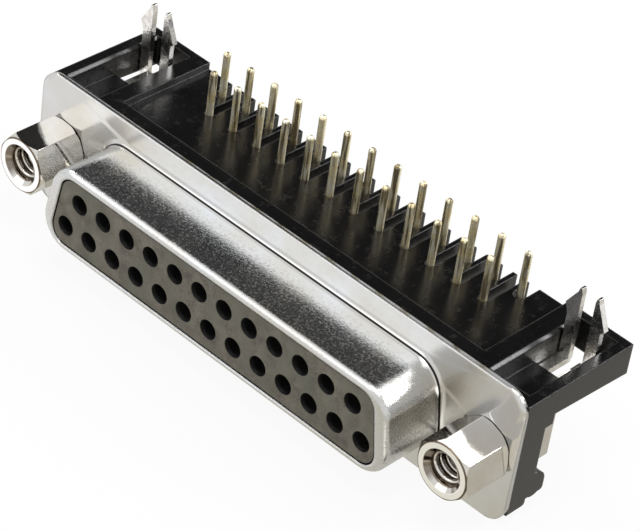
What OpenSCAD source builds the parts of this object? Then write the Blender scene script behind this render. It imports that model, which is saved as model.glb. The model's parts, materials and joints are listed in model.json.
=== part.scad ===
// Right-angle two-row D-subminiature socket connector for a circuit board.
// X runs along the rows, -Y points at the mating plug, +Z points into the board.
// The origin lies on the connector's axis, in the front plane of the flange.

/* [Contacts] */
// Number of contacts, shared by the two rows
contact_count = 25; // [9:2:37]
// Distance between neighbouring contacts in one row
contact_pitch = 2.76; // [2.7:0.01:2.9]
// Distance between the two rows on the mating face
row_gap = 2.84; // [2.7:0.01:3]
// Outer diameter of a socket barrel
barrel_d = 1.5; // [1.4:0.05:1.6]
// Length of a socket barrel
barrel_len = 7.5; // [6.5:0.1:8]
// Diameter of the socket bore
socket_bore_d = 1.06; // [1:0.01:1.1]
// Depth of the socket bore
socket_depth = 4.6; // [4:0.1:5.5]
// Width of the slit that makes the socket springy
slit_w = 0.25; // [0.15:0.01:0.35]
// Length of that slit
slit_len = 3.2; // [2:0.1:3.8]
// Distance from the insulator's face to the tip of a socket
contact_recess = 1.4; // [1:0.1:1.8]
// Diameter of a contact's tail
tail_d = 0.64; // [0.56:0.01:0.7]
// Radius of the tail's bend, on its centre line
bend_r = 0.9; // [0.6:0.05:1]
// Clearance round a contact in the plastic
contact_play = 0.03; // [0.02:0.01:0.06]

/* [Mating shell] */
// Thickness of the shell's sheet steel
sheet = 0.45; // [0.35:0.05:0.6]
// Distance from the last contact of the long row to the side of the nose
nose_end = 2.63; // [2.5:0.01:2.8]
// Height of the nose
nose_h = 7.9; // [7.6:0.05:8.2]
// How far the nose stands out from the flange
nose_len = 6; // [5.7:0.05:6.3]
// Slope of the nose's two ends
nose_slope = 10; // [6:1:14]
// Outside radius of the nose's corners
nose_r = 2.6; // [2.2:0.05:3]
// Radius where the nose rises from the flange
root_r = 0.6; // [0.4:0.05:0.9]
// Outer radius of the lip that turns inwards at the front of the nose
lip_r = 0.5; // [0.3:0.05:0.5]
// How far the lip reaches inwards from the long sides of the nose
lip_side = 0.6; // [0.55:0.01:0.7]
// How far the lip reaches inwards from the ends of the nose
lip_end = 1.09; // [0.9:0.01:1.2]
// Radius of the corners of the opening inside the lip
lip_corner_r = 1.5; // [1.3:0.05:1.7]
// Height of the flange
flange_h = 12.55; // [12.2:0.05:13]
// Radius of the flange's corners
flange_r = 1.9; // [1:0.1:2.8]
// Distance from a fixing hole to the end of the flange
flange_ear = 3; // [2.6:0.05:3.4]
// Distance from the last contact of the long row to a fixing hole
end_to_hole = 6.96; // [6.8:0.01:7.2]
// Diameter of the flange's fixing holes
flange_hole_d = 3.05; // [2.9:0.05:3.3]

/* [Front insulator] */
// Gap between the nose and the insulator inside it
insulator_gap = 0.15; // [0.1:0.01:0.2]
// How far the insulator's face lies behind the edge of the nose
face_setback = 0.1; // [0:0.05:0.3]
// Diameter of the funnel at the mouth of each contact hole
mouth_d = 1.78; // [1.7:0.02:1.95]
// Depth of that funnel
mouth_depth = 0.35; // [0.2:0.05:0.5]

/* [Board side] */
// Distance from the flange to the front row of tails
tail_row_y = 8.08; // [7.9:0.02:8.6]
// Distance between the two rows of tails
tail_row_gap = 2.84; // [2.54:0.01:3]
// Height of the board seat above the connector's axis
seat_z = 5.3; // [5.1:0.05:5.6]
// How far the tails stand out past the board seat
tail_proud = 3.55; // [2.8:0.05:4]
// Distance from the flange to the rear edge of the housing
housing_y = 12.6; // [12.4:0.05:13]

/* [Rear housing] */
// Length of the housing block that grips the contacts
block_len = 4.75; // [4:0.05:5.4]
// Depth of that block below the connector's axis
block_drop = 4.7; // [4:0.05:5.2]
// Step from the deck up to the board seat
deck_step = 0.65; // [0.4:0.05:1]
// Thickness of the deck that the comb is cut in
deck_t = 1.85; // [1.4:0.05:2.1]
// Length of the raised strip along the flange
strip_len = 2.35; // [1.5:0.05:3]
// Half length of the comb deck past the last contact of the long row
deck_end = 3.34; // [3:0.02:3.6]
// Width of a comb slot for the front row of tails
front_slot_w = 0.8; // [0.76:0.02:0.86]
// Width of a comb slot for the back row of tails
back_slot_w = 1.06; // [0.9:0.02:1.1]
// Distance from a back tail to the closed end of its slot
back_slot_lead = 0.6; // [0.45:0.05:0.9]
// Overhang of the housing's ends past the fixing holes
bracket_ear = 2.9; // [2.6:0.05:3]
// Width of the channel in each end bracket
channel_w = 3.5; // [3.4:0.05:3.8]
// Depth of that channel below the board seat
channel_depth = 1.9; // [1.2:0.05:2]
// Distance from the flange to the start of the channel
channel_start = 1.6; // [1:0.1:2.4]
// Chamfer along the channel's upper edges
channel_lead = 0.25; // [0.2:0.05:0.4]
// Height of the bracket's underside above the connector's axis
bracket_z = 2.9; // [2.85:0.05:3]
// How far that underside falls towards the rear
bracket_fall = 0.45; // [0:0.05:0.6]
// Distance from the flange to the opening in the channel's floor
opening_start = 6.9; // [5.8:0.1:7.2]
// Thickness of the wall behind that opening
rear_wall = 0.8; // [0.6:0.05:1.1]
// Thickness of a leg behind the flange
leg_t = 2.7; // [2.4:0.05:3]
// Depth of a leg below the connector's axis
leg_drop = 5.4; // [5.2:0.05:5.8]
// Width of a leg
leg_w = 5.8; // [5.4:0.1:5.9]
// Diameter of the hole through a leg
leg_hole_d = 3.2; // [3.1:0.05:3.4]
// Radius of a leg's lower rear corner
heel_r = 0.3; // [0.1:0.05:0.5]
// How far that corner lies in front of the strap
heel_in = 0.6; // [0.4:0.05:0.9]
// How far the ledge above the nut stands out behind the strap
brow_t = 0.35; // [0.2:0.05:0.6]
// Thickness of that upper ledge
brow_h = 0.95; // [0.6:0.05:1.2]
// How far the ledge below the nut stands out behind the strap
ledge_t = 0.85; // [0.6:0.05:1.1]
// Depth of the lower ledge's top below the connector's axis
ledge_drop = 2.65; // [2.3:0.05:2.8]
// Thickness of the lower ledge
ledge_h = 2.15; // [1.8:0.05:2.3]
// Radius of the lower ledge's upper and of its lower rear edge
ledge_r = [1.15, 0.3]; // [0.2:0.05:1.2]

/* [Board locks] */
// Thickness of the board lock's strip
strap_t = 0.5; // [0.4:0.05:0.6]
// Width of the upright that the jackscrew passes through
upright_w = 4.9; // [4.6:0.1:5.2]
// Diameter of the hole in the upright
strap_hole_d = 3.1; // [3:0.05:3.3]
// Width over the two arms that run under the bracket
run_w = 2.7; // [2.4:0.1:2.9]
// Width of the slot between the arms
arm_gap = 0.9; // [0.7:0.05:1.1]
// Distance from the flange to the start of that slot
arm_start = 6.4; // [5.6:0.1:7]
// How far the arms lie nearer the contacts than the fixing holes
arm_shift = 0.3; // [0:0.05:0.35]
// Inside radius of the strip's bends
strap_bend_r = 0.2; // [0.1:0.05:0.4]
// Distance from the flange to the front of the fork
fork_y = 9.65; // [9.3:0.05:10]
// Width of the fork's neck
neck_w = 3.3; // [3:0.05:3.4]
// Width over the fork's barbs
barb_w = 3.95; // [3.6:0.05:4.3]
// Thickness of the board that the fork grips
board_t = 1.6; // [1.2:0.1:2]
// Length of the tapered points above the board
point_len = 2.8; // [2:0.1:3.2]
// Width of the slot between the prongs
fork_slot_w = 1.3; // [1:0.05:1.5]
// Width of a prong's tip
tip_w = 0.4; // [0.3:0.05:0.5]
// Chamfer on the corners of that tip
tip_chamfer = 0.1; // [0.05:0.01:0.12]
// Height of the sloping underside of the left and of the right barb
barb_h = [0.9, 0.3]; // [0.2:0.05:1]

/* [Jackscrews] */
// Distance across the flats of a jackscrew
hex_af = 4.75; // [4.5:0.05:5]
// How far a jackscrew stands out from the flange
hex_len = 4.8; // [4.5:0.05:6]
// Length of the turned chamfer on the corners, at both ends of the hexagon
hex_chamfer = 0.35; // [0.2:0.05:0.5]
// Outside diameter of the thread
thread_d = 2.845; // [2.6:0.005:3]
// Depth of the threaded hole
thread_depth = 4.2; // [3:0.1:4.3]
// Diameter of the countersink at the mouth of that hole
mouth_sink_d = 3.7; // [3.2:0.05:4]
// Clearance between a stud and the nut on it
thread_play = 0.06; // [0.02:0.01:0.1]
// How far a stud stands out past its nut
stud_proud = 0.4; // [0.2:0.1:1]
// Turn of the left and of the right hexagon about its axis, in degrees
hex_turn = [55, 39]; // [0:1:59]
// Clearance between the square nut and the bend of the strip above it
nut_play = 0.02; // [0:0.01:0.1]
// Thickness of the square nut
nut_t = 1.59; // [1.4:0.01:1.8]

/* [Hidden] */
$fn = 48;
eps = 0.01;
corner_steps = 10;
bend_steps = 5;
root_sink = 0.1;

long_count = ceil(contact_count / 2);
short_count = contact_count - long_count;
long_row_len = (long_count - 1) * contact_pitch;
hole_x = long_row_len / 2 + end_to_hole;
nose_w = long_row_len + 2 * nose_end;
deck_x = long_row_len / 2 + deck_end;
bracket_x = hole_x + bracket_ear;
flange_w = 2 * (hole_x + flange_ear);

// A D-shaped outline, widest along its lower side: the radius and height of its corners, and
// their distance from the middle on the lower and on the upper side
function d_corners(w, h, r) = [r, h / 2 - r, w / 2 - r, w / 2 - r - (h - 2 * r) * tan(nose_slope)];

NOSE = d_corners(nose_w, nose_h, nose_r);
OPENING = d_corners(nose_w - 2 * lip_end, nose_h - 2 * lip_side, lip_corner_r);

face_y = -(nose_len - face_setback);
shoulder_y = -(nose_len - sheet - insulator_gap);
barrel_y = face_y + contact_recess;
barrel_end_y = barrel_y + barrel_len;
block_y = sheet + block_len;
deck_z = seat_z - deck_step;
deck_low_z = deck_z - deck_t;
cavity_d = barrel_d + 2 * contact_play;
tail_hole_d = tail_d + 2 * contact_play;
tail_top_z = seat_z + tail_proud;

leg_y = sheet + leg_t;
strap_y = leg_y + strap_t;
nut_y = strap_y + nut_t;
brow_y = strap_y + brow_t;
ledge_y = strap_y + ledge_t;
run_z = bracket_z - strap_t;
ledge_z = -ledge_drop;
ledge_low_z = ledge_z - ledge_h;
nut_af = 2 * (run_z - strap_bend_r - nut_play);
opening_end = housing_y - rear_wall;

// Row, place along the row and tail of each contact: the long row is the lower one
function in_long_row(i) = i <= long_count;
function place_in_row(i) = in_long_row(i) ? i - (long_count + 1) / 2
                                          : i - long_count - (short_count + 1) / 2;
function contact_x(i) = place_in_row(i) * contact_pitch;
function contact_z(i) = in_long_row(i) ? -row_gap / 2 : row_gap / 2;
function tail_y(i) = in_long_row(i) ? tail_row_y + tail_row_gap : tail_row_y;
function two_digits(i) = i < 10 ? str("0", i) : str(i);
function contact_name(i) = str("contact_", two_digits(i));

SIDES = ["left", "right"];

function side_x(s) = s == "left" ? -hole_x : hole_x;

// ---- Helpers that turn outlines towards the mating side or along the rows ----

// Extrudes an X-Z outline from y_from back to y_to
module along_y(y_from, y_to) {
    translate([0, y_to, 0]) rotate([90, 0, 0]) linear_extrude(y_to - y_from) children();
}

// Extrudes a Y-Z outline from x_from to x_to
module along_x(x_from, x_to) {
    translate([x_from, 0, 0]) rotate([90, 0, 90]) linear_extrude(x_to - x_from) children();
}

// A rod along Y, with its own diameter at either end
module rod_y(y_from, y_to, d_from, d_to) {
    translate([0, y_from, 0]) rotate([-90, 0, 0]) cylinder(h = y_to - y_from, d1 = d_from, d2 = d_to);
}

module rounded_box(w, h, r) {
    for (x = [-1, 1], z = [-1, 1]) {
        translate([x * (w / 2 - r), z * (h / 2 - r)]) circle(r);
    }
    square([w, h - 2 * r], center = true);
    square([w - 2 * r, h], center = true);
}

// ---- The D-shaped nose ----

// The outline d, moved inwards by inset
module d_outline(d, inset) {
    r = d[0] - inset;
    dx = r * cos(nose_slope);
    dz = r * sin(nose_slope);
    for (side = [-1, 1]) {
        translate([side * d[2], -d[1]]) circle(r);
        translate([side * d[3], d[1]]) circle(r);
    }
    polygon([
        [d[2], -d[1] - r], [d[2] + dx, dz - d[1]],
        [d[3] + dx, d[1] + dz], [d[3], d[1] + r],
        [-d[3], d[1] + r], [-d[3] - dx, d[1] + dz],
        [-d[2] - dx, dz - d[1]], [-d[2], -d[1] - r]]);
}

// Section of the drawn wall, as points [outline that they follow, distance from the centre of its
// corner, height above the flange]: round front edge, lip, inner wall, and a bend that ends inside
// the flange's sheet
function arc(x, y, r, a_from, a_to, steps) =
    [for (k = [0 : steps]) let (a = a_from + (a_to - a_from) * k / steps) [x + r * cos(a), y + r * sin(a)]];

function along(d, points) = [for (p = points) [d, p[0], p[1]]];

function wall_section() = concat(
    along(NOSE, arc(nose_r - lip_r, nose_len - lip_r, lip_r, 0, 90, bend_steps)),
    along(OPENING, [[lip_corner_r, nose_len - eps], [lip_corner_r, nose_len - sheet]]),
    along(NOSE, concat(
        [[nose_r - sheet, nose_len - sheet]],
        arc(nose_r + root_r, root_r, root_r + sheet, 180, 255, bend_steps),
        [[nose_r + root_r + root_sink, -2 * root_sink], [nose_r + root_r + root_sink, -root_sink]],
        arc(nose_r + root_r, root_r, root_r, 258, 180, bend_steps))));

// The wall is that section carried round the four corners of the nose
function corner_turn(side, row, a_from, a_to) =
    [for (k = [0 : corner_steps]) [side, row, a_from + (a_to - a_from) * k / corner_steps]];

function wall_point(s, p) =
    let (d = p[0], x = s[1] < 0 ? d[2] : d[3])
    [s[0] * x + p[1] * cos(s[2]), s[1] * d[1] + p[1] * sin(s[2]), p[2]];

module drawn_wall() {
    section = wall_section();
    n = len(section);
    stations = concat(
        corner_turn(1, 1, nose_slope, 90),
        corner_turn(-1, 1, 90, 180 - nose_slope),
        corner_turn(-1, -1, 180 - nose_slope, 270),
        corner_turn(1, -1, 270, 360 + nose_slope));
    m = len(stations);
    points = [for (s = stations) for (p = section) wall_point(s, p)];
    faces = [for (i = [0 : m - 1]) for (j = [0 : n - 1])
        let (i2 = (i + 1) % m, j2 = (j + 1) % n)
        for (f = [[i * n + j, i * n + j2, i2 * n + j2], [i * n + j, i2 * n + j2, i2 * n + j]]) f];
    polyhedron(points, faces);
}

module front_shell() {
    color("silver") {
        rotate([90, 0, 0]) drawn_wall();
        difference() {
            along_y(0, sheet) difference() {
                rounded_box(flange_w, flange_h, flange_r);
                d_outline(NOSE, 2 * root_sink - root_r);
            }
            for (s = SIDES) {
                translate([side_x(s), 0, 0]) rod_y(-1, sheet + 1, flange_hole_d, flange_hole_d);
            }
        }
    }
}

module front_insulator() {
    color("dimgray") difference() {
        union() {
            along_y(face_y, shoulder_y) d_outline(OPENING, insulator_gap);
            along_y(shoulder_y, sheet) d_outline(NOSE, sheet + insulator_gap);
        }
        for (i = [1 : contact_count]) {
            translate([contact_x(i), 0, contact_z(i)]) {
                rod_y(face_y - 1, sheet + 1, cavity_d, cavity_d);
                rod_y(face_y - eps, face_y + mouth_depth, mouth_d, cavity_d);
            }
        }
    }
}

// ---- The rear housing ----

// Side view of the deck: raised strip, sloping step, deck and block
module housing_profile() {
    strip_end = sheet + strip_len;
    polygon([
        [sheet, -block_drop], [block_y, -block_drop], [block_y, deck_low_z],
        [housing_y, deck_low_z], [housing_y, deck_z],
        [strip_end + deck_step, deck_z], [strip_end, seat_z], [sheet, seat_z]]);
}

// Side view of an end bracket
module bracket_profile() {
    polygon([
        [sheet, bracket_z], [brow_y, bracket_z], [housing_y, bracket_z - bracket_fall],
        [housing_y, seat_z], [sheet, seat_z]]);
}

// Side view of a leg, with the two ledges that hold the nut: the lower one rounds over to the rear
module leg_profile() {
    foot_y = leg_y - heel_in;
    translate([sheet, ledge_low_z]) square([leg_t, bracket_z - ledge_low_z]);
    translate([sheet, -leg_drop]) square([foot_y - heel_r - sheet, leg_drop]);
    translate([sheet, heel_r - leg_drop]) square([foot_y - sheet, leg_drop - heel_r]);
    translate([foot_y - heel_r, heel_r - leg_drop]) circle(heel_r);
    translate([sheet, bracket_z - brow_h]) square([brow_y - sheet, brow_h]);
    translate([sheet, ledge_low_z]) square([ledge_y - ledge_r[0] - sheet, ledge_h]);
    translate([sheet, ledge_low_z + ledge_r[1]]) {
        square([ledge_y - sheet, ledge_h - ledge_r[0] - ledge_r[1]]);
    }
    translate([sheet, ledge_low_z]) square([ledge_y - ledge_r[1] - sheet, ledge_r[1]]);
    translate([ledge_y - ledge_r[0], ledge_z - ledge_r[0]]) circle(ledge_r[0]);
    translate([ledge_y - ledge_r[1], ledge_low_z + ledge_r[1]]) circle(ledge_r[1]);
}

// Room that one board lock, nut and stud take out of the housing
module bracket_cuts() {
    half_channel = channel_w / 2;
    half_pocket = upright_w / 2 + contact_play;
    lead_z = seat_z - channel_lead;
    flare = half_channel + channel_lead + 1;
    along_y(channel_start, opening_end) polygon([
        [-half_channel, seat_z - channel_depth], [half_channel, seat_z - channel_depth],
        [half_channel, lead_z], [flare, seat_z + 1], [-flare, seat_z + 1], [-half_channel, lead_z]]);
    along_y(opening_start, opening_end) {
        translate([-half_channel, 0]) square([channel_w, seat_z - channel_lead]);
    }
    along_y(leg_y, opening_end) {
        translate([-half_channel, run_z - brow_h]) square([channel_w, strap_t + brow_h]);
    }
    along_y(leg_y, ledge_y + 1) {
        translate([-half_pocket, ledge_z]) square([2 * half_pocket, bracket_z - ledge_z]);
    }
    rod_y(0, leg_y + 1, leg_hole_d, leg_hole_d);
}

module comb_slot(x, y_end, w) {
    translate([x - w / 2, y_end + w / 2, 0]) cube([w, housing_y, seat_z + 1]);
    translate([x, y_end + w / 2, 0]) cylinder(h = seat_z + 1, d = w);
}

module rear_housing() {
    color([0.09, 0.09, 0.1]) difference() {
        union() {
            along_x(-deck_x, deck_x) housing_profile();
            for (s = SIDES) {
                inner = s == "left" ? -bracket_x : deck_x;
                outer = s == "left" ? -deck_x : bracket_x;
                along_x(inner, outer) bracket_profile();
                along_x(side_x(s) - leg_w / 2, side_x(s) + leg_w / 2) leg_profile();
            }
        }
        for (s = SIDES) {
            translate([side_x(s), 0, 0]) bracket_cuts();
        }
        for (i = [1 : contact_count]) {
            translate([contact_x(i), 0, contact_z(i)]) {
                rod_y(0, barrel_end_y, cavity_d, cavity_d);
                rod_y(0, block_y + 1, tail_hole_d, tail_hole_d);
            }
            if (in_long_row(i)) {
                comb_slot(contact_x(i), tail_y(i) - back_slot_lead, back_slot_w);
            } else {
                comb_slot(contact_x(i), tail_y(i) - front_slot_w / 2, front_slot_w);
            }
        }
    }
}

// ---- Contacts ----

module contact(i) {
    x = contact_x(i);
    z = contact_z(i);
    y = tail_y(i);
    color("gold") translate([x, 0, 0]) {
        translate([0, 0, z]) difference() {
            rod_y(barrel_y, barrel_end_y, barrel_d, barrel_d);
            rod_y(barrel_y - 1, barrel_y + socket_depth, socket_bore_d, socket_bore_d);
            translate([-slit_w / 2, barrel_y - 1, -barrel_d]) cube([slit_w, slit_len + 1, 2 * barrel_d]);
        }
        translate([0, 0, z]) rod_y(barrel_end_y, y - bend_r, tail_d, tail_d);
        translate([0, y - bend_r, z + bend_r]) rotate([0, 90, 0]) rotate_extrude(angle = 90) {
            translate([bend_r, 0]) circle(d = tail_d);
        }
        translate([0, y, z + bend_r]) {
            cylinder(h = tail_top_z - tail_d / 2 - z - bend_r, d = tail_d);
        }
        translate([0, y, tail_top_z - tail_d / 2]) sphere(d = tail_d);
    }
}

// ---- Board locks ----

// One prong, from the run under the bracket up to its tip
module prong(side, rise) {
    inner = fork_slot_w / 2;
    barb_z = seat_z + board_t;
    tip_z = barb_z + point_len;
    scale([side, 1]) polygon([
        [inner, run_z], [neck_w / 2, run_z], [neck_w / 2, barb_z],
        [barb_w / 2, barb_z + rise], [inner + tip_w, tip_z - tip_w],
        [inner + tip_w - tip_chamfer, tip_z], [inner + tip_chamfer, tip_z], [inner, tip_z - tip_w]]);
}

// Side view of the bent strip
module strap_profile() {
    bend = strap_bend_r + strap_t;
    translate([leg_y, ledge_z]) square([strap_t, bracket_z - bend - ledge_z]);
    translate([leg_y + bend, bracket_z - bend]) intersection() {
        difference() {
            circle(bend);
            circle(strap_bend_r);
        }
        translate([-bend, 0]) square(bend);
    }
    translate([leg_y + bend, run_z]) square([fork_y + strap_t - leg_y - bend, strap_t]);
}

module board_lock(s) {
    shift = s == "left" ? arm_shift : -arm_shift;
    color("whitesmoke") translate([side_x(s), 0, 0]) difference() {
        union() {
            intersection() {
                along_x(-upright_w / 2, upright_w / 2) strap_profile();
                union() {
                    translate([-upright_w / 2, 0, -leg_drop]) cube([upright_w, strap_y, leg_drop + run_z]);
                    translate([shift - run_w / 2, 0, -leg_drop]) cube([run_w, housing_y, leg_drop + seat_z]);
                }
            }
            along_y(fork_y, fork_y + strap_t) {
                prong(-1, barb_h[0]);
                prong(1, barb_h[1]);
            }
        }
        rod_y(leg_y - 1, strap_y + 1, strap_hole_d, strap_hole_d);
        translate([shift - arm_gap / 2, arm_start, 0]) cube([arm_gap, housing_y, bracket_z]);
    }
}

// ---- Jackscrews and nuts ----

module jackscrew(s) {
    corner_d = hex_af / cos(30);
    turn = s == "left" ? hex_turn[0] : hex_turn[1];
    color("gainsboro") translate([side_x(s), 0, 0]) difference() {
        union() {
            intersection() {
                along_y(-hex_len, 0) rotate([0, 0, turn]) circle(d = corner_d, $fn = 6);
                union() {
                    rod_y(-hex_len, hex_chamfer - hex_len, hex_af, corner_d);
                    rod_y(hex_chamfer - hex_len, -hex_chamfer, corner_d, corner_d);
                    rod_y(-hex_chamfer, 0, corner_d, hex_af);
                }
            }
            rod_y(-eps, nut_y + stud_proud, thread_d - thread_play, thread_d - thread_play);
        }
        rod_y(-hex_len - 1, thread_depth - hex_len, thread_d, thread_d);
        rod_y(-hex_len - eps, (mouth_sink_d - thread_d) / 2 - hex_len, mouth_sink_d, thread_d);
    }
}

module lock_nut(s) {
    color("silver") translate([side_x(s), 0, 0]) difference() {
        along_y(strap_y, nut_y) square(nut_af, center = true);
        rod_y(strap_y - 1, nut_y + 1, thread_d, thread_d);
    }
}

front_shell();
front_insulator();
rear_housing();
for (i = [1 : contact_count]) contact(i);
for (s = SIDES) board_lock(s);
for (s = SIDES) jackscrew(s);
for (s = SIDES) lock_nut(s);
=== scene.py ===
import json
import math

import bmesh
import bpy
from mathutils import Euler, Matrix, Vector


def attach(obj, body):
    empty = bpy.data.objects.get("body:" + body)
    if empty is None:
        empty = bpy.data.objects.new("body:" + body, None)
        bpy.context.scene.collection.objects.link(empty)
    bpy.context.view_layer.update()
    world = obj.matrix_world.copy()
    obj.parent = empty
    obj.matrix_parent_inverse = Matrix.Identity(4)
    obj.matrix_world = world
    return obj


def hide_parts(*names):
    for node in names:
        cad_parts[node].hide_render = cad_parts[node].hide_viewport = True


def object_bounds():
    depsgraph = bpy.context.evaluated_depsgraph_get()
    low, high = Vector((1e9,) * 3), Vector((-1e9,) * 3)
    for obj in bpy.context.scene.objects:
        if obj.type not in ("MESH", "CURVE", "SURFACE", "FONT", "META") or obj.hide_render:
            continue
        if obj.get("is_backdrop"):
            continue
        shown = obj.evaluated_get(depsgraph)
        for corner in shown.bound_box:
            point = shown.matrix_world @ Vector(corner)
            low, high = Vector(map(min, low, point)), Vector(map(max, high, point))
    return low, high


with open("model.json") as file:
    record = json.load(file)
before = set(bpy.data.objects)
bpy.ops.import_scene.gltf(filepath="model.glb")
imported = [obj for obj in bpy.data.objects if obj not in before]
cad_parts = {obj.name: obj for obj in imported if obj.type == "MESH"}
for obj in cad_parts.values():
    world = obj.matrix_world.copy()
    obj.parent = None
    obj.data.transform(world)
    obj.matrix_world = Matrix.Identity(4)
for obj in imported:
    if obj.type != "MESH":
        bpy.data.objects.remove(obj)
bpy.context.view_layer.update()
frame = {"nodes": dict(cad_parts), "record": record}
nodes = frame["nodes"]
mm = 0.001
farAway = 1.0  # m, past the end of every piece
scene = bpy.context.scene
print("frame loaded:", len(nodes), "nodes")


class Wire:
    # one output socket of a node tree; sums and products of wires become Math nodes
    def __init__(self, tree, socket):
        self.tree = tree
        self.socket = socket

    def node(self, kind, settings=None, inputs=None, output=0):
        made = self.tree.nodes.new(kind)
        for key, value in (settings or {}).items():
            setattr(made, key, value)
        for key, value in (inputs or {}).items():
            plug = made.inputs[key]
            if isinstance(value, Wire):
                self.tree.links.new(value.socket, plug)
            else:
                plug.default_value = value
        return Wire(self.tree, made.outputs[output])

    def maths(self, operation, *values):
        return self.node("ShaderNodeMath", {"operation": operation}, dict(enumerate(values)))

    def __add__(self, other):
        return self.maths("ADD", self, other)

    def __radd__(self, other):
        return self.maths("ADD", other, self)

    def __sub__(self, other):
        return self.maths("SUBTRACT", self, other)

    def __rsub__(self, other):
        return self.maths("SUBTRACT", other, self)

    def __mul__(self, other):
        return self.maths("MULTIPLY", self, other)

    def __rmul__(self, other):
        return self.maths("MULTIPLY", other, self)

    def axis(self, index):
        # 0, 1 or 2 for the x, y or z of a vector
        return self.node("ShaderNodeSeparateXYZ", {}, {"Vector": self}, index)

    def stretched(self, scale):
        return self.node("ShaderNodeMapping", {}, {"Vector": self, "Scale": scale})

    def noise(self, size, detail):
        inputs = {"Vector": self, "Scale": 1 / size, "Detail": detail}
        return self.node("ShaderNodeTexNoise", {}, inputs)

    def blend(self, factor, first, second):
        # colours only: factor 0 gives first; the Mix node's colours are its sockets 6, 7 and 2
        first, second = ((*one, 1) if isinstance(one, tuple) else one for one in (first, second))
        settings = {"data_type": "RGBA", "clamp_factor": True}
        return self.node("ShaderNodeMix", settings, {0: factor, 6: first, 7: second}, 2)

    def ramp(self, low, high):
        # 0 below low, 1 above high
        inputs = {0: self, 1: low, 2: high, 3: 0.0, 4: 1.0}
        return self.node("ShaderNodeMapRange", {"clamp": True}, inputs)


def newMaterial(name, fixed):
    material = bpy.data.materials.new(name)
    material.use_nodes = True
    tree = material.node_tree
    shader = tree.nodes["Principled BSDF"]
    for key, value in fixed.items():
        shader.inputs[key].default_value = (*value, 1) if isinstance(value, tuple) else value
    place = Wire(tree, tree.nodes.new("ShaderNodeTexCoord").outputs["Object"])
    return material, tree, shader, place


def feed(tree, shader, **wires):
    for key, wire in wires.items():
        tree.links.new(wire.socket, shader.inputs[key.replace("_", " ")])


def softEdge(place, radius, samples=6):
    # normals rounded over the piece's sharp edges
    return place.node("ShaderNodeBevel", {"samples": samples}, {"Radius": radius})


def bump(place, height, strength, distance, normal):
    inputs = {"Height": height, "Strength": strength, "Distance": distance, "Normal": normal}
    return place.node("ShaderNodeBump", {}, inputs)


def band(place, axis, low, high, soft):
    # 1 where the object coordinate lies between low and high
    value = place.axis(axis)
    return value.ramp(low - soft, low) * (1 - value.ramp(high, high + soft))


def screwEnd(place, look):
    # painted shade on a screw's end, darker at the thread's root, on one side of the countersink
    # and at the rim, and a painted highlight, brighter, on the ring between the two
    sinkStart, sinkEnd = look["sink"]
    rimStart, rimEnd = look["rim"]
    sinkSoft, rimSoft = look["sinkSoft"], look["rimSoft"]
    shifted = place.axis(0) + look["spacing"]
    across = place.maths("MODULO", shifted, look["spacing"]) - look["spacing"] / 2
    height = place.axis(2)
    radius = place.maths("SQRT", across * across + height * height)
    inSink = radius.ramp(sinkStart, sinkStart + sinkSoft)
    pastSink = radius.ramp(sinkEnd - sinkSoft, sinkEnd)
    root = radius.ramp(*look["root"]) * (1 - inSink)
    sink = inSink * (1 - pastSink) * (height * look["sideLean"] - across).ramp(*look["side"])
    atRim = radius.ramp(rimStart - rimSoft, rimStart)
    rim = atRim * (1 - radius.ramp(rimEnd, rimEnd + rimSoft))
    atEnd = band(place, 1, *look["endY"], look["endSoft"])
    shade = root * look["rootShade"] + sink * look["sinkShade"] + rim * atEnd * look["rimShade"]
    return shade, pastSink * (1 - atRim) * atEnd


def brightNickel(name, look):
    material, tree, shader, place = newMaterial(name, {"Metallic": 1.0})
    cloud = place.noise(look["cloudSize"], 3).ramp(*look["cloudRange"])
    grain = place.noise(look["grainSize"], 3)
    mottle = place.noise(look["mottleSize"], 4).ramp(*look["mottleRange"])
    mottle = mottle * band(place, 1, -farAway, look["mottleEnd"], look["mottleFade"])
    colour = place.blend(cloud, look["pale"], look["warm"])
    colour = place.blend(mottle * look["mottleShade"], colour, look["mottleColour"])
    # painted shade: a dark line along Y in the crease where the piece meets the flange
    creaseShade = band(place, 1, *look["creaseShade"])
    if "spacing" in look:
        # painted highlight on the ring, painted shade at the thread's root, the countersink's side
        # and the rim
        shade, ring = screwEnd(place, look)
        colour = place.blend(ring, colour, look["ringHighlight"])
        colour = place.blend(shade, colour, look["shadeColour"])
    feed(tree, shader, Base_Color=place.blend(creaseShade, colour, look["creaseShadeColour"]))
    rough = look["rough"] + cloud * look["cloudRough"] + mottle * look["mottleRough"]
    feed(tree, shader, Roughness=rough)
    skin = softEdge(place, look["edge"])
    skin = bump(place, mottle, look["bumpShare"], look["mottleDepth"], skin)
    feed(tree, shader, Normal=bump(place, grain, look["bumpShare"], look["grainDepth"], skin))
    return material


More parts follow.
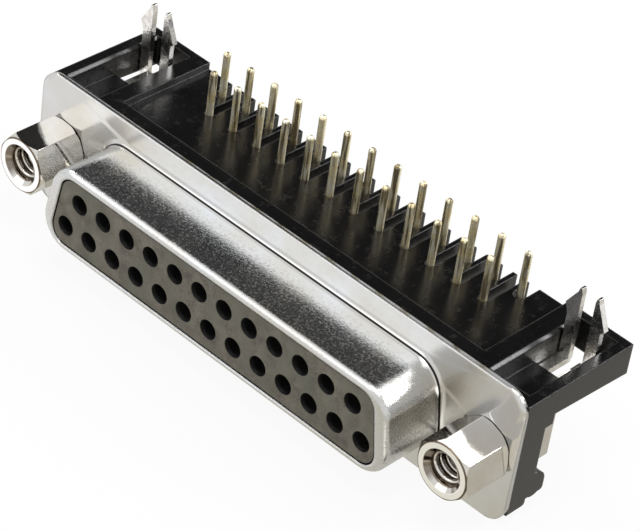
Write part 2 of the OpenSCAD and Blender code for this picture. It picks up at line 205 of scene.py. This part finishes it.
def glossyBlack():
    look = {"dark": (0.0025, 0.0025, 0.003), "light": (0.007, 0.0065, 0.006), "shine": 0.42,
            "waveSize": 3.5 * mm, "waveDepth": 0.006 * mm, "waveBump": 0.5, "waveShare": 0.6,
            "grainSize": 0.16 * mm, "grainDepth": 0.004 * mm, "grainBump": 0.25,
            "scuffSize": 0.7 * mm, "scuffRange": (0.56, 0.72), "scuffShare": 0.4,
            "rough": 0.16, "waveRough": 0.08, "grainRough": 0.05, "scuffRough": 0.14,
            "edge": 0.18 * mm}
    fixed = {"Specular IOR Level": look["shine"], "IOR": 1.5}
    material, tree, shader, place = newMaterial("glossyBlack", fixed)
    wave = place.noise(look["waveSize"], 2)
    grain = place.noise(look["grainSize"], 3)
    scuff = place.noise(look["scuffSize"], 5).ramp(*look["scuffRange"])
    worn = wave * look["waveShare"] + scuff * look["scuffShare"]
    feed(tree, shader, Base_Color=place.blend(worn, look["dark"], look["light"]))
    rough = look["rough"] + wave * look["waveRough"] + grain * look["grainRough"]
    feed(tree, shader, Roughness=rough + scuff * look["scuffRough"])
    skin = bump(place, wave, look["waveBump"], look["waveDepth"], softEdge(place, look["edge"]))
    feed(tree, shader, Normal=bump(place, grain, look["grainBump"], look["grainDepth"], skin))
    return material


def warmGrey():
    look = {"dark": (0.055, 0.048, 0.038), "light": (0.27, 0.24, 0.19), "tint": (0.12, 0.125, 0.09),
            "patchSize": 1.5 * mm, "patchRange": (0.32, 0.68), "patchShare": 0.55,
            "driftSize": 3.1 * mm, "driftRange": (0.4, 0.6), "driftShare": 0.6,
            "grainSize": 0.16 * mm, "grainRange": (0.3, 0.7), "grainShare": 0.45,
            "grainBump": 0.5, "grainDepth": 0.008 * mm, "rough": 0.45, "grainRough": 0.2,
            "faceY": -5.9 * mm, "below": 0.06 * mm, "fade": 0.03 * mm,
            "hole": (0.004, 0.004, 0.004), "edge": 0.04 * mm}
    fixed = {"IOR": 1.48, "Specular IOR Level": 0.3}
    material, tree, shader, place = newMaterial("warmGrey", fixed)
    patch = place.noise(look["patchSize"], 4).ramp(*look["patchRange"])
    drift = place.noise(look["driftSize"], 2).ramp(*look["driftRange"])
    grain = place.noise(look["grainSize"], 4).ramp(*look["grainRange"])
    speck = patch * look["patchShare"] + grain * look["grainShare"]
    base = place.blend(speck, look["dark"], look["light"])
    base = place.blend(drift * look["driftShare"], base, look["tint"])
    # painted shade: the contact holes, behind the face plane, darkened to near black
    holeShadeMask = band(place, 1, look["faceY"] + look["below"], farAway, look["fade"])
    feed(tree, shader, Base_Color=place.blend(holeShadeMask, base, look["hole"]))
    feed(tree, shader, Roughness=look["rough"] + grain * look["grainRough"])
    skin = softEdge(place, look["edge"])
    feed(tree, shader, Normal=bump(place, grain, look["grainBump"], look["grainDepth"], skin))
    return material


def paleGold():
    look = {"pale": (1.0, 0.95, 0.74), "warm": (0.9, 0.76, 0.44), "dark": (0.13, 0.09, 0.035),
            "metal": 0.6, "cloudSize": 0.9 * mm, "cloudRange": (0.35, 0.65),
            "streakSize": 0.3 * mm, "streakScale": (1, 1, 0.08), "streakRange": (0.47, 0.58),
            "streakShade": 0.85, "ringSize": 0.05 * mm, "ringScale": (0.15, 0.15, 1),
            "ringBump": 0.8, "ringDepth": 0.012 * mm, "rough": 0.2, "cloudRough": 0.1,
            "edge": 0.03 * mm}
    material, tree, shader, place = newMaterial("paleGold", {"Metallic": look["metal"]})
    cloud = place.noise(look["cloudSize"], 3).ramp(*look["cloudRange"])
    streak = place.stretched(look["streakScale"]).noise(look["streakSize"], 2)
    streak = streak.ramp(*look["streakRange"])
    ring = place.stretched(look["ringScale"]).noise(look["ringSize"], 3)
    plate = place.blend(cloud, look["pale"], look["warm"])
    feed(tree, shader, Base_Color=place.blend(streak * look["streakShade"], plate, look["dark"]))
    feed(tree, shader, Roughness=look["rough"] + cloud * look["cloudRough"])
    skin = softEdge(place, look["edge"])
    feed(tree, shader, Normal=bump(place, ring, look["ringBump"], look["ringDepth"], skin))
    return material


def brightTin():
    look = {"pale": (0.9, 0.89, 0.87), "warm": (0.62, 0.6, 0.56),
            "cloudSize": 0.8 * mm, "cloudRange": (0.38, 0.62),
            "grainSize": 0.2 * mm, "grainBump": 0.6, "grainDepth": 0.03 * mm,
            "rough": 0.1, "cloudRough": 0.16, "grainRough": 0.08, "edge": 0.05 * mm}
    material, tree, shader, place = newMaterial("brightTin", {"Metallic": 1.0})
    cloud = place.noise(look["cloudSize"], 4).ramp(*look["cloudRange"])
    grain = place.noise(look["grainSize"], 3)
    feed(tree, shader, Base_Color=place.blend(cloud, look["pale"], look["warm"]))
    rough = look["rough"] + cloud * look["cloudRough"] + grain * look["grainRough"]
    feed(tree, shader, Roughness=rough)
    skin = softEdge(place, look["edge"])
    feed(tree, shader, Normal=bump(place, grain, look["grainBump"], look["grainDepth"], skin))
    return material


nickelLook = {  # what the shell and the screws share
    "cloudRange": (0.35, 0.7), "cloudRough": 0.05, "mottleRange": (0.46, 0.68),
    "mottleFade": 0.4 * mm, "mottleColour": (0.3, 0.32, 0.29), "bumpShare": 0.5,
    "creaseShadeColour": (0.02, 0.018, 0.015)}
shellLook = {
    **nickelLook, "pale": (0.63, 0.64, 0.655), "warm": (0.58, 0.565, 0.53), "cloudSize": 6 * mm,
    "mottleSize": 0.2 * mm, "mottleDepth": 0.008 * mm, "mottleRough": 0.12, "mottleShade": 0.25,
    "mottleEnd": -1.1 * mm, "grainSize": 0.12 * mm, "grainDepth": 0.005 * mm, "rough": 0.16,
    "edge": 0.3 * mm,
    "creaseShade": (-0.3 * mm, -0.19 * mm, 0.035 * mm)}  # from, to and softness along Y
screwLook = {
    **nickelLook, "pale": (0.68, 0.665, 0.64), "warm": (0.6, 0.57, 0.51), "cloudSize": 3 * mm,
    "mottleSize": 0.5 * mm, "mottleDepth": 0.002 * mm, "mottleRough": 0.03, "mottleShade": 0.05,
    "mottleEnd": 20 * mm, "grainSize": 0.14 * mm, "grainDepth": 0.001 * mm, "rough": 0.05,
    "edge": 0.11 * mm, "creaseShade": (-0.05 * mm, 0.0, 0.03 * mm),
    "spacing": 47.04 * mm,  # between the two screws' axes
    "root": (1.28 * mm, 1.36 * mm), "rootShade": 0.85,
    "sink": (1.5 * mm, 1.86 * mm), "sinkSoft": 0.04 * mm, "sinkShade": 0.75,
    "side": (-0.1 * mm, 0.7 * mm), "sideLean": 0.5,
    "rim": (2.33 * mm, 2.44 * mm), "rimSoft": 0.03 * mm, "rimShade": 0.9,
    "endY": (-4.85 * mm, -4.66 * mm), "endSoft": 0.03 * mm,
    "ringHighlight": (0.97, 0.97, 0.96), "shadeColour": (0.1, 0.065, 0.035)}
finishes = {
    "nickel_steel": brightNickel("shellNickel", shellLook),
    "insulator_plastic": warmGrey(),
    "housing_plastic": glossyBlack(),
    "contact_alloy": paleGold(),
    "lock_tin": brightTin(),
    "jackscrew_nickel": brightNickel("screwNickel", screwLook),
    "nut_nickel": brightNickel("nutNickel", screwLook),
}
for part in frame["record"]["subparts"]:
    mesh = nodes[part["node"]].data
    mesh.materials.clear()
    mesh.materials.append(finishes[part["material_slot"]])
print("materials assigned")


def plainCopy(source, name):
    # the object's evaluated mesh as a new object without modifiers
    seen = source.evaluated_get(bpy.context.evaluated_depsgraph_get())
    made = bpy.data.objects.new(name, bpy.data.meshes.new_from_object(seen))
    scene.collection.objects.link(made)
    bpy.data.objects.remove(source)
    return made


def smoothShell():
    # the solid's own shape, with normals smoothed over its bends
    look = {"weld": 0.001 * mm, "sharp": 32, "flat": 0.999}
    skin = bpy.data.objects.new("shellBlank", bpy.data.meshes.new("shellBlank"))
    work = bmesh.new()
    work.from_mesh(nodes["front_shell"].data)
    bmesh.ops.transform(work, matrix=nodes["front_shell"].matrix_world, verts=work.verts)
    bmesh.ops.remove_doubles(work, verts=work.verts, dist=look["weld"])
    for face in work.faces:
        # the sheet's flat sides stay flat
        face.smooth = abs(face.normal.y) < look["flat"]
    work.to_mesh(skin.data)
    work.free()
    skin.data.set_sharp_from_angle(angle=math.radians(look["sharp"]))
    skin.data.materials.append(finishes["nickel_steel"])
    scene.collection.objects.link(skin)
    evened = skin.modifiers.new("evened", "WEIGHTED_NORMAL")
    evened.keep_sharp = True
    shell = plainCopy(skin, "smooth_shell")
    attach(shell, "root")
    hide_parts("front_shell")


def threadTree(turnSteps, ridgeSides):
    # a round ridge wound along a helix on the Y axis
    tree = bpy.data.node_groups.new("threadRidge", "GeometryNodeTree")
    kinds = {"Turns": "Float", "Radius": "Float", "Length": "Float", "Ridge": "Float",
             "Start": "Vector", "Finish": "Material"}
    sockets = {}
    for label, kind in kinds.items():
        made = tree.interface.new_socket(label, in_out="INPUT", socket_type="NodeSocket" + kind)
        sockets[label] = made.identifier
    tree.interface.new_socket("Geometry", in_out="OUTPUT", socket_type="NodeSocketGeometry")
    given = tree.nodes.new("NodeGroupInput")
    helix = tree.nodes.new("GeometryNodeCurveSpiral")
    helix.inputs["Resolution"].default_value = turnSteps
    ring = tree.nodes.new("GeometryNodeCurvePrimitiveCircle")
    ring.inputs["Resolution"].default_value = ridgeSides
    sweep = tree.nodes.new("GeometryNodeCurveToMesh")
    sweep.inputs["Fill Caps"].default_value = True
    turn = tree.nodes.new("GeometryNodeTransform")
    turn.inputs["Rotation"].default_value = (math.radians(-90), 0, 0)
    solid = tree.nodes.new("GeometryNodeRealizeInstances")
    paint = tree.nodes.new("GeometryNodeSetMaterial")
    result = tree.nodes.new("NodeGroupOutput")
    for source, target in ((given.outputs["Turns"], helix.inputs["Rotations"]),
                           (given.outputs["Radius"], helix.inputs["Start Radius"]),
                           (given.outputs["Radius"], helix.inputs["End Radius"]),
                           (given.outputs["Length"], helix.inputs["Height"]),
                           (given.outputs["Ridge"], ring.inputs["Radius"]),
                           (helix.outputs["Curve"], sweep.inputs["Curve"]),
                           (ring.outputs["Curve"], sweep.inputs["Profile Curve"]),
                           (sweep.outputs["Mesh"], turn.inputs["Geometry"]),
                           (given.outputs["Start"], turn.inputs["Translation"]),
                           (turn.outputs["Geometry"], solid.inputs["Geometry"]),
                           (solid.outputs["Geometry"], paint.inputs["Geometry"]),
                           (given.outputs["Finish"], paint.inputs["Material"]),
                           (paint.outputs["Geometry"], result.inputs["Geometry"])):
        tree.links.new(source, target)
    return tree, sockets


def cutThreads():
    look = {"pitch": 0.635 * mm, "radius": 1.37 * mm, "ridge": 0.23 * mm, "start": -4.3 * mm,
            "length": 3.6 * mm, "holeX": 23.52 * mm, "turnSteps": 40, "ridgeSides": 8}
    tree, sockets = threadTree(look["turnSteps"], look["ridgeSides"])
    for side, x in (("left", -look["holeX"]), ("right", look["holeX"])):
        blank = bpy.data.objects.new("threadBlank", bpy.data.meshes.new("threadBlank"))
        scene.collection.objects.link(blank)
        wound = blank.modifiers.new("thread", "NODES")
        wound.node_group = tree
        values = {"Turns": look["length"] / look["pitch"], "Radius": look["radius"],
                  "Length": look["length"], "Ridge": look["ridge"], "Start": (x, look["start"], 0),
                  "Finish": finishes["jackscrew_nickel"]}
        for label, value in values.items():
            wound[sockets[label]] = value
        thread = plainCopy(blank, "thread_" + side)
        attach(thread, "root")


smoothShell()
cutThreads()
print("shell and threads made")

cameraLook = {"place": (0.1157, -0.13621, 0.13852), "azimuth": 39.03, "elevation": 37.19,
              "roll": 8.77, "lens": 162.2, "sensor": 36, "clipStart": 0.01}
camera = bpy.data.objects.new("camera", bpy.data.cameras.new("camera"))
scene.collection.objects.link(camera)
camera.data.lens = cameraLook["lens"]
camera.data.sensor_width = cameraLook["sensor"]
camera.data.clip_start = cameraLook["clipStart"]
tilt = math.radians(90 - cameraLook["elevation"])
aim = Euler((tilt, 0, math.radians(cameraLook["azimuth"])))
roll = Matrix.Rotation(math.radians(cameraLook["roll"]), 4, "Z")
camera.matrix_world = Matrix.Translation(cameraLook["place"]) @ aim.to_matrix().to_4x4() @ roll
scene.camera = camera


def faceMiddle(thing, place):
    # stands at place and faces the origin
    thing.location = place
    thing.rotation_euler = Vector(place).to_track_quat("Z", "Y").to_euler()


def softbox(name, place, size, power):
    light = bpy.data.lights.new(name, "AREA")
    light.shape = "RECTANGLE"
    light.size, light.size_y = size
    light.energy = power
    thing = bpy.data.objects.new(name, light)
    scene.collection.objects.link(thing)
    faceMiddle(thing, place)


def levelQuad(name, width, depth, height=0.0):
    x, y = width / 2, depth / 2
    corners = [(-x, -y, height), (x, -y, height), (x, y, height), (-x, y, height)]
    mesh = bpy.data.meshes.new(name)
    mesh.from_pydata(corners, [], [(0, 1, 2, 3)])
    made = bpy.data.objects.new(name, mesh)
    scene.collection.objects.link(made)
    return made


def onlyReflected(card):
    card.visible_camera = False
    card.visible_diffuse = False
    card.visible_shadow = False
    card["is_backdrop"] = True


def flag(name, place, size):
    # a dark card that only reflections see
    look = {"Base Color": (0.015, 0.015, 0.015), "Roughness": 0.9}
    card = levelQuad(name, *size)
    faceMiddle(card, place)
    card.data.materials.append(newMaterial(name, look)[0])
    onlyReflected(card)


lamps = {  # place, width and height, power
    "topLight": ((0.05, -0.05, 0.5), (0.3, 0.22), 1.0),
    "frontPanel": ((-0.25, -0.31, 0.31), (0.4, 0.32), 0.44),
    "rightBackLight": ((0.25, 0.27, 0.21), (0.15, 0.15), 0.85),
    "backPanel": ((0.11, 0.31, 0.38), (0.16, 0.12), 0.12),
    "leftLight": ((-0.38, 0.1, 0.3), (0.12, 0.12), 0.6),
}
flags = {  # place, width and height
    "flagBack": ((-0.2, 0.25, 0.23), (0.42, 0.36)),
    "flagRight": ((0.33, 0.28, 0.12), (0.18, 0.22)),
}
for name, (place, size, power) in lamps.items():
    softbox(name, place, size, power)
for name, (place, size) in flags.items():
    flag(name, place, size)


def makeLowCard():
    # what reflections see below the part, in place of the ground: pale, darker to the right
    # and to the back, with one warm spot and one dark one
    look = {"size": 2.0, "below": 0.15, "strength": 1.4,
            "left": (0.78, 0.765, 0.75), "right": (0.54, 0.52, 0.455), "turnX": (-0.155, -0.095),
            "back": (0.48, 0.465, 0.425), "turnY": (-0.02, 0.08),
            "warm": (1.0, 0.96, 0.87), "warmSpot": (0.2, -0.215, 0.11, 0.075),
            "dark": (0.03, 0.025, 0.02), "darkSpot": (0.19, -0.1, 0.08, 0.05),
            "spotFade": (0.6, 1.4)}
    card = levelQuad("lowCard", look["size"], look["size"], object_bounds()[0][2] - look["below"])
    material, tree, _, place = newMaterial("lowCard", {})
    x = place.axis(0)
    y = place.axis(1)

    def spot(where):
        # where: the middle's x and y, and the reach along each
        across = (x - where[0]) * (1 / where[2])
        along = (y - where[1]) * (1 / where[3])
        return 1 - (across * across + along * along).ramp(*look["spotFade"])

    colour = place.blend(x.ramp(*look["turnX"]), look["left"], look["right"])
    colour = place.blend(y.ramp(*look["turnY"]), colour, look["back"])
    colour = place.blend(spot(look["warmSpot"]), colour, look["warm"])
    colour = place.blend(spot(look["darkSpot"]), colour, look["dark"])
    lit = {"Color": colour, "Strength": look["strength"]}
    glow = place.node("ShaderNodeEmission", {}, lit)
    tree.links.new(glow.socket, tree.nodes["Material Output"].inputs["Surface"])
    card.data.materials.append(material)
    onlyReflected(card)


def whiteWhereSeen(tree, shade, share, output):
    # white to the camera and in reflections, while its light on the object stays plain
    paths = tree.nodes.new("ShaderNodeLightPath")
    rays = ("Is Camera Ray", "Is Glossy Ray", "Is Transmission Ray")
    seen, mirrored, through = (Wire(tree, paths.outputs[ray]) for ray in rays)
    mask = ((seen + mirrored + through) * share).ramp(0, 1)
    glow = shade.node("ShaderNodeEmission", {}, {"Color": (1, 1, 1, 1), "Strength": 1.0})
    mixed = shade.node("ShaderNodeMixShader", {}, {0: mask, 1: shade, 2: glow})
    tree.links.new(mixed.socket, output.inputs["Surface"])


def makeGround():
    # reflections see the low card in its place
    look = {"size": 3.0, "colour": (0.8, 0.8, 0.79), "rough": 0.9, "whiteShare": 0.92}
    ground = levelQuad("ground", look["size"], look["size"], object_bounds()[0][2])
    ground.visible_glossy = False
    fixed = {"Base Color": look["colour"], "Roughness": look["rough"]}
    material, tree, shader, _ = newMaterial("ground", fixed)
    shade = Wire(tree, shader.outputs[0])
    whiteWhereSeen(tree, shade, look["whiteShare"], tree.nodes["Material Output"])
    ground.data.materials.append(material)
    ground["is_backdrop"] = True


def makeWorld():
    look = {"colour": (0.95, 0.97, 1, 1), "strength": 0.4, "whiteShare": 1.0}
    world = bpy.data.worlds.new("studio")
    scene.world = world
    world.use_nodes = True
    tree = world.node_tree
    background = tree.nodes["Background"]
    background.inputs["Color"].default_value = look["colour"]
    background.inputs["Strength"].default_value = look["strength"]
    shade = Wire(tree, background.outputs[0])
    whiteWhereSeen(tree, shade, look["whiteShare"], tree.nodes["World Output"])


makeLowCard()
makeGround()
makeWorld()
scene.view_settings.view_transform = "Standard"
print("studio ready")
